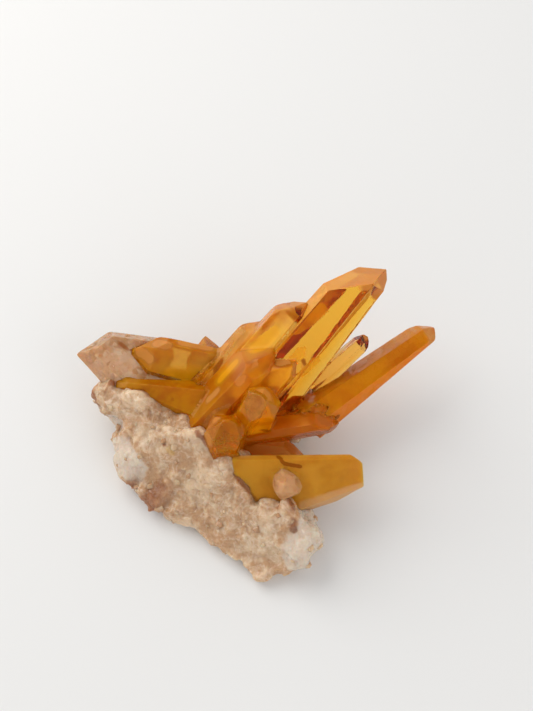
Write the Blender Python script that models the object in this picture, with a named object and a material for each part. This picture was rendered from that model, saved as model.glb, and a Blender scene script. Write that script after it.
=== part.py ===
# Tangerine quartz: a fan of golden-orange crystals that grew out of a lump of milky quartz.
#
# The specimen lies on the broken flat of its lump. +X runs along the longest side, from the
# pale block at the left to the tip of the right crystal. +Y points away from the viewer and
# +Z up. The origin is under the middle of the whole specimen, on the surface it lies on.
#
# A quartz crystal is a six-sided prism closed by six sloping end faces. Each crystal here is
# a block of quartz cut by those twelve planes, at the distances that this crystal grew to.
# Crystals that grew into each other are one solid. The others stand in sockets of the lump.

import math
import random
from collections import namedtuple

import bmesh
import bpy
from mathutils import Matrix, Vector, noise

# Driving dimensions, in millimetres and degrees

MM = 0.001
GAP = 0.3                  # room left between two pieces that touch
END_FACE_TILT = 51.8       # an end face leans this far from the crystal's cross-section
PRISM_SIDES = 6
BLOCK_REACH = 60.0         # half side of the block that a solid is cut from
BLUNT = 14.0               # an end face this far out never shows

# root and end lie on the crystal's centre line. roll turns the prism about it: 0 puts the
# first face to the right as seen from the root, and the others follow anticlockwise. flats
# are the distances from the centre line to the six prism faces at the root, and taper leans
# those faces in towards the end, all alike or each by its own angle. ends say how far past
# the end point each end face crosses the centre line.
Crystal = namedtuple("Crystal", "root end roll flats taper ends")

# A lump is an uneven block inside an ellipsoid: its middle, its three half sizes, its turn
# about Z, how many faces it broke into, and the seed of its unevenness.
Lump = namedtuple("Lump", "centre radii turn faces seed")

# The crystals in the middle, which grew into each other
CENTRE_GROUP = {
    "tall": Crystal(
        root=(-1.8, 4.0, 6.2), end=(17.0, 20.7, 23.6), roll=12.0,
        flats=(5.1, 4.6, 5.1, 4.4, 5.0, 5.1), taper=(2.6, 2.6, 2.6, 2.6, -0.5, 2.6),
        ends=(5.5, BLUNT, 0.6, 4.6, 5.1, 7.0),
    ),
    "twin": Crystal(
        root=(-6.8, 5.4, 7.0), end=(7.1, 17.3, 19.7), roll=24.0,
        flats=(3.5, 3.5, 4.0, 4.1, 3.5, 3.5), taper=2.5,
        ends=(3.0, 2.7, 1.7, 2.4, 1.0, 3.0),
    ),
    "slim": Crystal(
        root=(-10.7, 6.5, 7.3), end=(0.0, 17.0, 15.5), roll=5.0,
        flats=(3.1, 2.7, 2.4, 2.2, 2.7, 3.1), taper=2.5,
        ends=(2.0, 1.0, 0.2, 0.6, 2.0, 2.0),
    ),
    "long": Crystal(
        root=(-9.1, 2.0, 7.8), end=(1.9, 10.3, 18.0), roll=4.0,
        flats=(3.7, 4.4, 3.1, 4.4, 3.7, 3.7), taper=2.5,
        ends=(2.0, 1.0, 0.0, 1.0, 2.0, 2.0),
    ),
    "inner": Crystal(
        root=(-2.9, 2.6, 10.0), end=(6.2, 9.4, 17.2), roll=0.0,
        flats=(2.8, 2.6, 2.8, 2.8, 2.6, 2.8), taper=2.5,
        ends=(1.0, 2.0, 0.0, 1.0, 2.0, 2.0),
    ),
    "middle": Crystal(
        root=(-1.3, 2.2, 7.0), end=(1.4, 0.5, 21.0), roll=20.0,
        flats=(3.6, 3.2, 3.6, 4.2, 3.6, 3.2), taper=3.0,
        ends=(0.0, 1.5, 0.5, 0.0, 1.0, 1.0),
    ),
    "glowing": Crystal(
        root=(-2.8, 0.1, 7.0), end=(11.9, 0.5, 11.0), roll=-12.0,
        flats=(1.8, 3.0, 2.7, 2.5, 2.8, 2.8), taper=2.5,
        ends=(1.5, 2.9, 0.9, 2.3, 3.0, 3.0),
    ),
    "stub": Crystal(
        root=(4.9, 1.2, 8.0), end=(12.6, 3.3, 11.0), roll=20.0,
        flats=(2.0, 2.0, 2.0, 2.0, 2.0, 2.0), taper=2.5,
        ends=(0.0, 1.0, 0.5, 1.0, 0.0, 1.0),
    ),
    "under": Crystal(
        root=(-3.0, -1.5, 5.0), end=(7.4, -2.8, 6.0), roll=0.0,
        flats=(2.4, 2.2, 2.4, 2.4, 2.2, 2.4), taper=2.5,
        ends=(1.0, 2.0, 0.0, 1.0, 2.0, 2.0),
    ),
    "leaning": Crystal(
        root=(-5.9, -2.3, 8.0), end=(-4.2, -1.4, 17.0), roll=20.0,
        flats=(3.7, 3.5, 3.2, 3.7, 3.4, 3.6), taper=5.0,
        ends=(0.0, 1.0, 0.5, 0.0, 1.0, 1.0),
    ),
    "back_tip": Crystal(
        root=(-8.2, 10.4, 6.2), end=(-8.9, 16.2, 12.3), roll=20.0,
        flats=(2.8, 2.8, 2.8, 2.8, 2.8, 2.8), taper=2.5,
        ends=(0.0, 1.0, 0.5, 0.0, 1.0, 1.0),
    ),
    "back_low": Crystal(
        root=(-3.5, 6.0, 4.5), end=(1.2, 14.6, 7.2), roll=10.0,
        flats=(2.8, 2.5, 2.6, 2.8, 2.5, 2.6), taper=2.5,
        ends=(1.0, 0.5, 1.5, 0.5, 1.0, 0.0),
    ),
}

# The crystals that stand free of each other
SINGLE_CRYSTALS = {
    "right_crystal": Crystal(
        root=(8.5, 2.3, 8.2), end=(29.3, 16.6, 14.2), roll=17.6,
        flats=(3.3, 3.5, 3.0, 3.6, 3.2, 3.1), taper=(1.4, 3.0, 3.6, 2.0, 2.6, 4.3),
        ends=(2.6, 1.4, 0.7, 1.2, 1.0, 1.0),
    ),
    "front_crystal": Crystal(
        root=(-3.0, -8.6, 6.4), end=(17.4, -8.7, 9.0), roll=-10.0,
        flats=(7.2, 2.5, 5.9, 4.3, 3.9, 4.8), taper=(16.6, 1.3, 2.7, 1.5, 2.0, 2.7),
        ends=(BLUNT, 3.6, 6.0, 3.0, -2.5, 3.0),
    ),
    "left_crystal": Crystal(
        root=(-7.0, 11.6, 9.0), end=(-19.0, 13.3, 12.0), roll=20.0,
        flats=(3.3, 4.5, 2.5, 3.2, 3.4, 3.4), taper=1.5,
        ends=(2.0, 2.2, 1.1, 2.3, 3.0, 3.0),
    ),
    "low_left_crystal": Crystal(
        root=(-8.2, 3.4, 8.3), end=(-22.0, 7.4, 10.2), roll=-8.0,
        flats=(5.2, 5.2, 3.4, 2.5, 3.0, 3.0), taper=(14.0, 14.0, 8.0, 8.0, 8.0, 8.0),
        ends=(2.5, 2.0, 1.5, 2.0, 2.0, 2.0),
    ),
    "far_left_crystal": Crystal(
        root=(-15.9, 13.9, 5.0), end=(-28.6, 12.9, 11.0), roll=44.0,
        flats=(5.0, 3.9, 5.2, 4.4, 4.2, 4.2), taper=1.6,
        ends=(2.8, 3.6, 2.1, 1.7, 2.0, 2.0),
    ),
    "small_crystal": Crystal(
        root=(9.9, 8.5, 9.0), end=(17.9, 13.1, 16.1), roll=17.0,
        flats=(1.9, 2.1, 1.8, 2.1, 2.2, 1.5), taper=2.3,
        ends=(1.0, 4.0, 2.5, 1.3, 1.0, 1.3),
    ),
    "back_crystal": Crystal(
        root=(-9.0, 8.5, 3.8), end=(-12.2, 15.2, 4.4), roll=12.0,
        flats=(2.2, 2.0, 2.2, 2.2, 2.0, 2.2), taper=2.0,
        ends=(0.5, 1.0, 0.0, 1.5, 0.5, 1.0),
    ),
    "bead_crystal": Lump((4.9, -9.6, 10.5), (2.3, 2.6, 2.3), 25.0, 26, 3),
}

# Broken milky quartz, grown together into the lump
LUMPS = (
    Lump((-9.0, -4.5, 5.0), (13.0, 6.5, 7.5), -35.0, 18, 11),
    Lump((-18.0, 4.8, 6.5), (6.5, 5.0, 5.5), -30.0, 18, 12),
    Lump((-24.3, 8.0, 7.2), (3.5, 3.2, 3.5), 0.0, 18, 13),
    Lump((-21.8, 6.6, 6.0), (4.6, 3.8, 4.6), -20.0, 18, 23),
    Lump((-19.3, -2.0, 4.0), (4.8, 5.2, 5.5), 20.0, 18, 14),
    Lump((-14.4, -6.2, 4.2), (6.2, 4.8, 5.8), -40.0, 18, 15),
    Lump((-8.0, -10.5, 4.5), (8.0, 6.0, 6.5), -30.0, 18, 16),
    Lump((1.0, -15.5, 3.5), (7.5, 6.5, 5.5), -20.0, 18, 17),
    Lump((5.0, -16.7, 4.4), (5.4, 5.6, 5.8), 0.0, 18, 18),
    Lump((0.0, -8.5, 3.5), (8.0, 6.0, 4.0), 10.0, 18, 19),
    Lump((-8.0, 5.0, 3.5), (12.0, 7.0, 5.0), 0.0, 18, 20),
    Lump((-17.0, 9.5, 4.0), (7.0, 6.0, 5.0), 0.0, 18, 21),
    Lump((4.0, 6.0, 4.0), (7.0, 5.5, 4.8), 20.0, 18, 22),
)
LUMP_UNEVENNESS = 0.16

# The face turned to the viewer broke off along one slope: a point on it and its direction
SLOPE_POINT = (-5.5, -6.0, 12.0)
SLOPE_DIRECTION = (-0.34, -0.60, 0.72)
GOLDEN_ANGLE = math.pi * (3.0 - math.sqrt(5.0))    # spreads a lump's faces evenly round it
STRAY = 0.3                # radians by which a lump's face strays from that even spread

# The roughness of the broken quartz: how far it moves the surface, and how fast it varies
COARSE_RELIEF = 1.0
COARSE_RATE = 0.28
FINE_RELIEF = 0.32
FINE_RATE = 0.7
GRAIN = 0.5                # size of the smallest bump that is kept
LUMP_TRIANGLES = 4200

# Small crystals that stick out of the lump where the photograph shows one
LUMP_POINTS = (
    Crystal((-16.5, -4.0, 4.2), (-20.3, -6.9, 2.6), 10.0, (1.9,) * 6, 4.0, (0.9,) * 6),
    Crystal((-13.4, -6.8, 4.2), (-17.4, -10.8, 2.4), 25.0, (2.1,) * 6, 4.0, (0.9,) * 6),
    Crystal((-24.6, 7.3, 6.6), (-27.3, 8.3, 7.0), 0.0, (1.8,) * 6, 3.0, (0.4,) * 6),
    Crystal((4.6, -12.6, 8.4), (6.6, -14.8, 9.6), 15.0, (1.5,) * 6, 2.0, (0.4,) * 6),
)

# The crust of smaller points all over the slope
CRUST_POINTS = 22
CRUST_SPACING = 3.0
CRUST_HEIGHTS = (0.5, 1.0)
CRUST_HALF_WIDTHS = (0.6, 1.1)
CRUST_ROOT = 1.5           # how deep a point is rooted, in half widths
CRUST_LEAN = 0.5           # how far a point leans from the way the lump faces
CRUST_TAPER = 2.0
CRUST_LOWEST = 2.0
CRUST_FACING = 0.5         # the cosine of how far the lump may face away from the slope there
SPOTS_SEED = 5
POINTS_SEED = 8


def mm(x, y, z):
    return Vector((x, y, z)) * MM


def remove_everything():
    for obj in list(bpy.context.scene.objects):
        bpy.data.objects.remove(obj, do_unlink=True)


def crystal_planes(crystal):
    """The root, prism and end faces as (point, outward normal)."""
    root = mm(*crystal.root)
    end = mm(*crystal.end)
    along = (end - root).normalized()
    right = along.cross(Vector((0.0, 0.0, 1.0))).normalized()
    up = right.cross(along)
    one_taper = not isinstance(crystal.taper, tuple)
    tapers = (crystal.taper,) * PRISM_SIDES if one_taper else crystal.taper
    tilt = math.radians(END_FACE_TILT)
    planes = [(root, -along)]
    for side in range(PRISM_SIDES):
        angle = math.radians(crystal.roll + 360.0 / PRISM_SIDES * side)
        outward = right * math.cos(angle) + up * math.sin(angle)
        lean = math.radians(tapers[side])
        prism_normal = outward * math.cos(lean) + along * math.sin(lean)
        planes.append((root + outward * crystal.flats[side] * MM, prism_normal))
        end_normal = outward * math.sin(tilt) + along * math.cos(tilt)
        planes.append((end + along * crystal.ends[side] * MM, end_normal))
    return planes


def lump_planes(lump):
    """Evenly spread planes round the ellipsoid, each a little deeper than its neighbours."""
    dice = random.Random(lump.seed)
    turn = Matrix.Rotation(math.radians(lump.turn), 3, "Z")
    planes = []
    for face in range(lump.faces):
        height = 1.0 - 2.0 * (face + 0.5) / lump.faces
        around = GOLDEN_ANGLE * face + dice.uniform(-STRAY, STRAY)
        level = math.sqrt(1.0 - height * height)
        normal = Vector((level * math.cos(around), level * math.sin(around), height))
        reach = math.sqrt(sum((r * n) ** 2 for r, n in zip(lump.radii, normal)))
        reach *= 1.0 - dice.uniform(0.0, LUMP_UNEVENNESS)
        normal = turn @ normal
        planes.append((mm(*lump.centre) + normal * reach * MM, normal))
    return planes


def cut_block(name, planes, middle):
    """A block round middle, cut back to every plane and closed with flat faces."""
    work = bmesh.new()
    bmesh.ops.create_cube(work, size=2.0 * BLOCK_REACH * MM, matrix=Matrix.Translation(middle))
    for point, normal in planes:
        everything = work.verts[:] + work.edges[:] + work.faces[:]
        cut = bmesh.ops.bisect_plane(
            work, geom=everything, dist=1e-7, plane_co=point, plane_no=normal, clear_outer=True
        )
        rim = [item for item in cut["geom_cut"] if isinstance(item, bmesh.types.BMEdge)]
        if rim:
            bmesh.ops.edgeloop_fill(work, edges=rim)
    bmesh.ops.recalc_face_normals(work, faces=work.faces[:])
    return new_object(name, work)


def new_object(name, work):
    mesh = bpy.data.meshes.new(name)
    work.to_mesh(mesh)
    work.free()
    obj = bpy.data.objects.new(name, mesh)
    bpy.context.scene.collection.objects.link(obj)
    return obj


def solid(name, spec, grow=0.0):
    """The solid of a crystal or a lump, with every face moved out by grow."""
    if isinstance(spec, Crystal):
        planes = crystal_planes(spec)
        middle = (mm(*spec.root) + mm(*spec.end)) / 2.0
    else:
        planes = lump_planes(spec)
        middle = mm(*spec.centre)
    grown = [(point + normal * grow * MM, normal) for point, normal in planes]
    return cut_block(name, grown, middle)


def apply_modifiers(obj):
    """Replace the object's mesh by the one its modifiers make."""
    seen = obj.evaluated_get(bpy.context.evaluated_depsgraph_get())
    mesh = bpy.data.meshes.new_from_object(seen)
    obj.modifiers.clear()
    obj.data = mesh


def combine(obj, tool, operation):
    """Join the tool to the object, or cut it away, and delete the tool."""
    boolean = obj.modifiers.new(operation.lower(), "BOOLEAN")
    boolean.operation = operation
    boolean.solver = "EXACT"
    boolean.object = tool
    apply_modifiers(obj)
    bpy.data.objects.remove(tool, do_unlink=True)


def join_loosely(name, objects):
    """Put several meshes into one object, without joining their surfaces."""
    work = bmesh.new()
    for obj in objects:
        work.from_mesh(obj.data)
        bpy.data.objects.remove(obj, do_unlink=True)
    return new_object(name, work)


def keep_largest_island(obj):
    """Drop the crumbs that a cut left loose."""
    work = bmesh.new()
    work.from_mesh(obj.data)
    islands = []
    waiting = set(work.verts)
    while waiting:
        island = {waiting.pop()}
        growing = list(island)
        while growing:
            vertex = growing.pop()
            for edge in vertex.link_edges:
                other = edge.other_vert(vertex)
                if other not in island:
                    island.add(other)
                    growing.append(other)
        waiting -= island
        islands.append(island)
    islands.sort(key=len)
    crumbs = [vertex for island in islands[:-1] for vertex in island]
    bmesh.ops.delete(work, geom=crumbs, context="VERTS")
    work.to_mesh(obj.data)
    work.free()


def centre_crystals():
    names = list(CENTRE_GROUP)
    group = solid("centre_crystals", CENTRE_GROUP[names[0]])
    for name in names[1:]:
        combine(group, solid(name, CENTRE_GROUP[name]), "UNION")
    return group


def single_crystal(name, neighbours):
    """A crystal of its own, cut back from the ones that were there first."""
    piece = solid(name, SINGLE_CRYSTALS[name])
    for neighbour in neighbours:
        combine(piece, solid("neighbour", neighbour, grow=GAP), "DIFFERENCE")
    keep_largest_island(piece)
    return piece


def roughen(obj):
    """Push each point in or out by a soft noise, coarse and fine."""
    mesh = obj.data
    normals = [vertex.normal.copy() for vertex in mesh.vertices]
    for vertex, normal in zip(mesh.vertices, normals):
        place = vertex.co / MM
        coarse = noise.noise(place * COARSE_RATE) * COARSE_RELIEF
        fine = noise.noise(place * FINE_RATE) * FINE_RELIEF
        vertex.co += normal * (coarse + fine) * MM


def crust_spots(lump):
    """Places on the slope, well apart, each with the way the surface faces there."""
    slope = Vector(SLOPE_DIRECTION).normalized()
    faces = [face for face in lump.data.polygons if face.normal.dot(slope) > CRUST_FACING]
    faces = [face for face in faces if face.center.z > CRUST_LOWEST * MM]
    random.Random(SPOTS_SEED).shuffle(faces)
    spots = []
    for face in faces:
        apart = all((face.center - spot).length > CRUST_SPACING * MM for spot, _ in spots)
        if apart and len(spots) < CRUST_POINTS:
            spots.append((face.center.copy(), face.normal.copy()))
    return spots


def crust(lump):
    """The small points of the crust, each leaning its own way, rooted in the lump."""
    dice = random.Random(POINTS_SEED)
    points = []
    for spot, normal in crust_spots(lump):
        sideways = Vector([dice.uniform(-CRUST_LEAN, CRUST_LEAN) for _ in range(3)])
        way = (normal + sideways).normalized()
        width = dice.uniform(*CRUST_HALF_WIDTHS)
        height = dice.uniform(*CRUST_HEIGHTS)
        root = spot / MM - way * CRUST_ROOT * width
        end = spot / MM + way * height
        roll = dice.uniform(0.0, 360.0 / PRISM_SIDES)
        sides = (width,) * PRISM_SIDES
        tips = (0.0,) * PRISM_SIDES
        crystal = Crystal(tuple(root), tuple(end), roll, sides, CRUST_TAPER, tips)
        points.append(solid("crust point", crystal))
    return join_loosely("crust", points)


def matrix_lump():
    """The lumps grown together, roughened, and broken off flat underneath."""
    slope = (mm(*SLOPE_POINT), Vector(SLOPE_DIRECTION).normalized())
    lumps = []
    for spec in LUMPS:
        lumps.append(cut_block("lump", lump_planes(spec) + [slope], mm(*spec.centre)))
    matrix = join_loosely("matrix", lumps)
    remesh = matrix.modifiers.new("grow together", "REMESH")
    remesh.mode = "VOXEL"
    remesh.voxel_size = GRAIN * MM
    apply_modifiers(matrix)
    roughen(matrix)
    thin = matrix.modifiers.new("fewer faces", "DECIMATE")
    thin.ratio = LUMP_TRIANGLES / (2.0 * len(matrix.data.polygons))
    apply_modifiers(matrix)
    combine(matrix, crust(matrix), "UNION")
    for point in LUMP_POINTS:
        combine(matrix, solid("lump point", point), "UNION")
    combine(matrix, ground_block(), "DIFFERENCE")
    return matrix


def ground_block():
    """Everything below the surface that the specimen lies on."""
    top = (mm(0.0, 0.0, 0.0), Vector((0.0, 0.0, 1.0)))
    return cut_block("ground", [top], mm(0.0, 0.0, -BLOCK_REACH / 2.0))


def finish(obj, colour, roughness, transmission):
    material = bpy.data.materials.new(obj.name)
    material.use_nodes = True
    shader = material.node_tree.nodes["Principled BSDF"]
    shader.inputs["Base Color"].default_value = (*colour, 1.0)
    shader.inputs["Roughness"].default_value = roughness
    shader.inputs["Metallic"].default_value = 0.0
    shader.inputs["Transmission Weight"].default_value = transmission
    obj.data.materials.clear()
    obj.data.materials.append(material)


FINISHES = {
    "matrix": ((0.75, 0.62, 0.55), 0.60, 0.0),
    "centre_crystals": ((0.85, 0.38, 0.02), 0.12, 0.7),
    "right_crystal": ((0.82, 0.30, 0.01), 0.12, 0.7),
    "front_crystal": ((0.75, 0.42, 0.12), 0.35, 0.4),
    "left_crystal": ((0.80, 0.42, 0.03), 0.15, 0.6),
    "low_left_crystal": ((0.78, 0.40, 0.04), 0.15, 0.6),
    "far_left_crystal": ((0.78, 0.58, 0.42), 0.40, 0.3),
    "small_crystal": ((0.90, 0.50, 0.08), 0.10, 0.8),
    "back_crystal": ((0.80, 0.42, 0.05), 0.20, 0.6),
    "bead_crystal": ((0.85, 0.72, 0.62), 0.15, 0.5),
}


def centre_on_origin(pieces):
    """Shift all pieces alike, so that the origin is under the middle of their box."""
    corners = [vertex.co for piece in pieces for vertex in piece.data.vertices]
    low = [min(corner[axis] for corner in corners) for axis in range(3)]
    high = [max(corner[axis] for corner in corners) for axis in range(3)]
    middle = Vector(((low[0] + high[0]) / 2.0, (low[1] + high[1]) / 2.0, low[2]))
    for piece in pieces:
        piece.data.transform(Matrix.Translation(-middle))
    return middle


def main():
    remove_everything()
    pieces = {"centre_crystals": centre_crystals()}
    settled = list(CENTRE_GROUP.values())
    for name, spec in SINGLE_CRYSTALS.items():
        pieces[name] = single_crystal(name, settled)
        settled.append(spec)
    matrix = matrix_lump()
    for spec in settled:
        combine(matrix, solid("socket", spec, grow=GAP), "DIFFERENCE")
    keep_largest_island(matrix)
    pieces["matrix"] = matrix
    middle = centre_on_origin(list(pieces.values()))
    print("middle of the design, mm:", [round(value / MM, 3) for value in middle])
    for name, piece in pieces.items():
        piece.name = name
        finish(piece, *FINISHES[name])


main()
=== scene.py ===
# %% [markdown]
# Tangerine quartz is clear quartz that iron has coloured orange. This specimen is a fan of
# golden crystals that grew out of a lump of milky quartz. The solids are already there: each
# crystal is a six-sided prism with sloping end faces, at its real size. What follows gives them
# their growth lines, their worn edges, their clear and frosted parts, the light and shade painted
# into some of their faces, and the lump its crust.
#
# The first cell loads the solids as a fixed frame. Nothing below moves or resizes them. All
# lengths below are in millimetres, and MM turns them into Blender's metres.

# %% Load the frame
import math
from collections import namedtuple

import bmesh
import bpy
import numpy as np
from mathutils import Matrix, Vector, noise
from mathutils.bvhtree import BVHTree


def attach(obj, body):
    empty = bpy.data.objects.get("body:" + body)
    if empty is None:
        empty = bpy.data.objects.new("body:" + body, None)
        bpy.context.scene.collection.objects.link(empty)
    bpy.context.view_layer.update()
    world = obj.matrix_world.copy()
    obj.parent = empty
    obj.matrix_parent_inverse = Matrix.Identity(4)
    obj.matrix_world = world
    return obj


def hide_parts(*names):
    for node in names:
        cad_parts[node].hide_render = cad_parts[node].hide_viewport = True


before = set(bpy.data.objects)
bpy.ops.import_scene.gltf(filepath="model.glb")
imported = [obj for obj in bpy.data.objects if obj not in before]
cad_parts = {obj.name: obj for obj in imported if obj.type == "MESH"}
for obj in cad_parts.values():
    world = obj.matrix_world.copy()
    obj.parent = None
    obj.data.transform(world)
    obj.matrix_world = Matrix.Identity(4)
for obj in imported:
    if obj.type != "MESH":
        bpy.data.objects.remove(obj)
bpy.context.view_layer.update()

MM = 0.001
print("the frame's pieces:", ", ".join(sorted(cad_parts)))

# %% [markdown]
# The photograph looks down on the specimen from the front, about 61 degrees above the table. A
# camera 166 mm away gives the same narrowing towards the back. Perspective comes from the
# distance alone, so the distance is set first and the lens then fills the picture.

# %% The camera
PICTURE_HEIGHT = 711                  # pixels of the photograph's long side
FOCAL_PIXELS = 900.0
VIEW_HEIGHT = math.radians(61.5)
VIEW_DISTANCE = 166.0 * MM
VIEW_TARGET = Vector((1.863, 18.658, 0.0)) * MM
NEAREST_SEEN = 5.0 * MM

camera = bpy.data.cameras.new("camera")
camera.lens = camera.sensor_width * FOCAL_PIXELS / PICTURE_HEIGHT
camera.clip_start = NEAREST_SEEN
viewer = bpy.data.objects.new("camera", camera)
toward_viewer = Vector((0.0, -math.cos(VIEW_HEIGHT), math.sin(VIEW_HEIGHT)))
viewer.location = VIEW_TARGET + toward_viewer * VIEW_DISTANCE
viewer.rotation_euler = (-toward_viewer).to_track_quat("-Z", "Y").to_euler()
bpy.context.scene.collection.objects.link(viewer)
bpy.context.scene.camera = viewer
print("the lens is", round(camera.lens, 1), "mm")

# %% [markdown]
# Clear crystal shows what is around it, so the light matters as much as the material. One
# broad soft light stands behind on the left, as a window would, and its reflection gives the
# frosted faces their pale veil. A dim one opposite keeps the shadows open. An evenly white room
# would lay that veil over every face and wash the amber out, so the room is bright low down
# and dimmer overhead.

# %% Light and floor
def soft_light(name, place, aim, size, power, colour):
    lamp = bpy.data.lights.new(name, "AREA")
    lamp.shape = "SQUARE"
    lamp.size = size
    lamp.energy = power
    lamp.color = colour
    holder = bpy.data.objects.new(name, lamp)
    holder.location = place
    holder.rotation_euler = (Vector(aim) - Vector(place)).to_track_quat("-Z", "Y").to_euler()
    holder.visible_camera = False
    bpy.context.scene.collection.objects.link(holder)


AIM = (0.0, 0.0, 0.01)
soft_light("window light", (-0.24, 0.20, 0.30), AIM, 0.40, 1.22, (1.0, 0.985, 0.96))
soft_light("fill light", (0.30, -0.22, 0.26), AIM, 0.30, 0.3, (0.95, 0.97, 1.0))

# The room's brightness against the sine of the height above the horizon
ROOM = {"From Min": 0.25, "From Max": 0.80, "To Min": 1.05, "To Max": 0.50}
ROOM_COLOUR = (0.97, 0.98, 1.0, 1.0)

world = bpy.data.worlds.new("studio")
world.use_nodes = True
room = world.node_tree
air = room.nodes["Background"]
air.inputs["Color"].default_value = ROOM_COLOUR
direction = room.nodes.new("ShaderNodeTexCoord")
height = room.nodes.new("ShaderNodeSeparateXYZ")
dimmer = room.nodes.new("ShaderNodeMapRange")
for socket, value in ROOM.items():
    dimmer.inputs[socket].default_value = value
room.links.new(direction.outputs["Generated"], height.inputs[0])
room.links.new(height.outputs["Z"], dimmer.inputs["Value"])
room.links.new(dimmer.outputs["Result"], air.inputs["Strength"])
bpy.context.scene.world = world
bpy.context.scene.view_settings.view_transform = "Standard"

FLOOR_HALF = 1.5                      # metres
floor_mesh = bpy.data.meshes.new("floor")
corners = [(x * FLOOR_HALF, y * FLOOR_HALF, 0.0) for x, y in [(-1, -1), (1, -1), (1, 1), (-1, 1)]]
floor_mesh.from_pydata(corners, [], [(0, 1, 2, 3)])
floor = bpy.data.objects.new("floor", floor_mesh)
bpy.context.scene.collection.objects.link(floor)
print("the floor is", 2 * FLOOR_HALF, "m wide")

# %% [markdown]
# A material is a network of nodes, which is slow to read and slower to change. With a small
# wrapper round a node's output, a mask can be written as a formula: each operator adds the
# Math node that does it.

# %% Formulas that become nodes
class Wire:
    """One output of a node. Arithmetic on it adds Math nodes."""

    def __init__(self, output):
        self.output = output

    def math(self, operation, first, second):
        node = self.output.id_data.nodes.new("ShaderNodeMath")
        node.operation = operation
        plug(node.inputs[0], first)
        plug(node.inputs[1], second)
        return Wire(node.outputs[0])

    def __add__(self, other):
        return self.math("ADD", self, other)

    __radd__ = __add__

    def __sub__(self, other):
        return self.math("SUBTRACT", self, other)

    def __rsub__(self, other):
        return self.math("SUBTRACT", other, self)

    def __mul__(self, other):
        return self.math("MULTIPLY", self, other)

    __rmul__ = __mul__

    def highest(self, other):
        return self.math("MAXIMUM", self, other)


def plug(socket, value):
    """Link a wire or a node's output to a socket, or set the socket to a plain value."""
    if isinstance(value, Wire):
        value = value.output
    if isinstance(value, bpy.types.NodeSocket):
        socket.id_data.links.new(value, socket)
    elif isinstance(value, tuple) and socket.type == "RGBA":
        socket.default_value = (*value[:3], 1.0)
    else:
        socket.default_value = value


def new_node(tree, kind, settings=None, inputs=None):
    """A node of any kind: its settings first, then what its sockets are plugged with."""
    node = tree.nodes.new(kind)
    for name, value in (settings or {}).items():
        setattr(node, name, value)
    for name, value in (inputs or {}).items():
        plug(node.inputs[name], value)
    return node


class Finish:
    """The node tree of one material, and the nodes that its formulas start from."""

    def __init__(self, name):
        self.material = bpy.data.materials.new(name)
        self.material.use_nodes = True
        self.tree = self.material.node_tree
        self.tree.nodes.clear()
        self.out = self.tree.nodes.new("ShaderNodeOutputMaterial")
        where = Wire(self.add("ShaderNodeTexCoord").outputs["Object"])
        scaled = self.vector("SCALE", {0: where, "Scale": 1.0 / MM})
        self.place = Wire(scaled.outputs[0])          # the point's place, in millimetres

    def add(self, kind, settings=None, inputs=None):
        return new_node(self.tree, kind, settings, inputs)

    def vector(self, operation, inputs):
        return self.add("ShaderNodeVectorMath", {"operation": operation}, inputs)

    def noise(self, size, detail=3.0, roughness=0.5, place=None, distortion=0.0):
        """Soft noise, 0 to 1, whose blobs are about size millimetres across."""
        inputs = {"Vector": place or self.place, "Scale": 1.0 / size, "Detail": detail}
        inputs.update({"Roughness": roughness, "Distortion": distortion})
        return Wire(self.add("ShaderNodeTexNoise", {}, inputs).outputs["Fac"])

    def cells(self, size):
        """A pattern of cells about size millimetres across, with a place and a colour for each."""
        return self.add("ShaderNodeTexVoronoi", {}, {"Vector": self.place, "Scale": 1.0 / size})

    def shades(self, size):
        """A random number, 0 to 1, for each cell."""
        colour = Wire(self.cells(size).outputs["Color"])
        return Wire(self.add("ShaderNodeSeparateColor", {}, {"Color": colour}).outputs[0])

    def tilted(self, size):
        """A height that slopes another way in each cell, so each one shines at its own angle."""
        grains = self.cells(size)
        away = self.vector("SUBTRACT", {0: self.place, 1: Wire(grains.outputs["Position"])})
        lean = self.vector("SUBTRACT", {0: Wire(grains.outputs["Color"]), 1: (0.5, 0.5, 0.5)})
        slope = self.vector("DOT_PRODUCT", {0: Wire(away.outputs[0]), 1: Wire(lean.outputs[0])})
        return Wire(slope.outputs["Value"])

    def between(self, value, low, high):
        """0 below low, 1 above high, and a smooth step between."""
        inputs = {"Value": value, "From Min": low, "From Max": high}
        node = self.add("ShaderNodeMapRange", {"interpolation_type": "SMOOTHSTEP"}, inputs)
        return Wire(node.outputs["Result"])

    def mix(self, first, second, amount):
        """A colour between two colours."""
        node = self.add("ShaderNodeMix", {"data_type": "RGBA"})
        factor, a, b = [socket for socket in node.inputs if socket.enabled]
        plug(factor, amount)
        plug(a, first)
        plug(b, second)
        return Wire(next(socket for socket in node.outputs if socket.enabled))

    def painted(self, attribute):
        """A number that the mesh carries at each of its points."""
        node = self.add("ShaderNodeAttribute", {"attribute_name": attribute})
        return Wire(node.outputs["Fac"])

    def bump(self, height, depth):
        """A normal tilted by a height, in millimetres, times depth."""
        node = self.add("ShaderNodeBump", {}, {"Height": height * (depth * MM), "Distance": 1.0})
        return Wire(node.outputs["Normal"])

    def surface(self, inputs):
        return self.add("ShaderNodeBsdfPrincipled", {}, inputs)

    def show(self, shader):
        self.tree.links.new(shader.outputs[0], self.out.inputs["Surface"])
        return self.material


def srgb(red, green, blue):
    """A colour as seen on a screen, 0 to 255, in the linear numbers that light adds up in."""
    channels = [value / 255.0 for value in (red, green, blue)]
    return tuple(c / 12.92 if c <= 0.04045 else ((c + 0.055) / 1.055) ** 2.4 for c in channels)


FLOOR_COLOUR = (0.80, 0.79, 0.77)
floor_finish = Finish("pale floor")
floor_finish.show(floor_finish.surface({"Base Color": FLOOR_COLOUR, "Roughness": 0.9}))
floor_mesh.materials.append(floor_finish.material)
print("the floor is finished with", len(floor_finish.tree.nodes), "nodes")

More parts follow.
